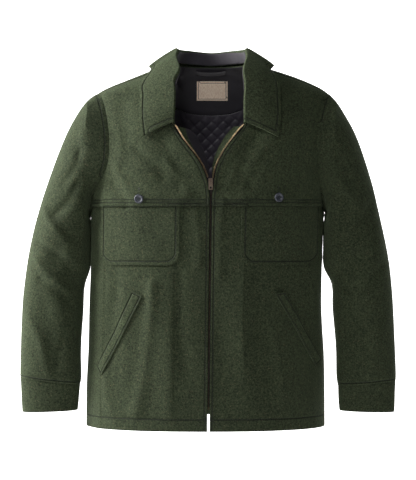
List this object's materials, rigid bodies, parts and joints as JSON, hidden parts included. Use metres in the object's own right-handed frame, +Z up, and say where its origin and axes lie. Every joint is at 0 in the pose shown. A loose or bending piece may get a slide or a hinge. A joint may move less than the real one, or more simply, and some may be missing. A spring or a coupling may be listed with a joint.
{
  "type": "loden coat",
  "caption": "Hip-length dark green wool coat with a zip front, turned-down collar, yokes, patch and welt pockets and cuffs, open at the neck and filled out.",
  "frame": {"origin": "level with the shoulders' inner ends, between them at the neck, where the coat is held up", "axes": "-Y is the way the front faces, +Z is up, +X is the right side as seen from the front"},
  "size_m": [0.7795, 0.2451, 0.7887],
  "materials": {
    "shell_wool": "heavy milled wool, dark green, matt",
    "yoke_wool": "heavy milled wool, dark green, matt",
    "trim_wool": "heavy milled wool, dark green, matt",
    "dark_lining": "smooth dark lining",
    "quilted_lining": "smooth dark lining, quilted in diamonds",
    "zip_tape": "woven tape, near black",
    "zip_metal": "warm, worn",
    "button_resin": "dark blue grey, half gloss",
    "label_cloth": "tan woven label, plain"
  },
  "bodies": {
    "garment": {"front_left": "shell_wool", "front_right": "shell_wool", "back": "shell_wool", "yoke_left": "yoke_wool", "yoke_right": "yoke_wool", "pocket_left": "shell_wool", "pocket_right": "shell_wool", "sleeve_left": "shell_wool", "sleeve_right": "shell_wool", "cuff_left": "shell_wool", "cuff_right": "shell_wool", "collar": "trim_wool", "collar_lining": "dark_lining", "yoke_lining": "dark_lining", "back_lining": "quilted_lining", "front_lining_left": "dark_lining", "facing_left": "trim_wool", "facing_right": "trim_wool", "zip_tape_left": "zip_tape", "zip_tape_right": "zip_tape", "zip_slider": "zip_metal", "welt_left": "trim_wool", "welt_right": "trim_wool", "button_left": "button_resin", "button_right": "button_resin", "neck_label": "label_cloth", "hanger_loop": "dark_lining"},
    "pull_tab": {"zip_pull": "zip_metal"}
  },
  "joints": [
    {"name": "pull_tab_swing", "type": "hinge", "parent": "garment", "child": "pull_tab", "pos_m": [0.0014, -0.12514, -0.247], "axis": [-1, 0, 0], "range_deg": [0, 150]}
  ]
}
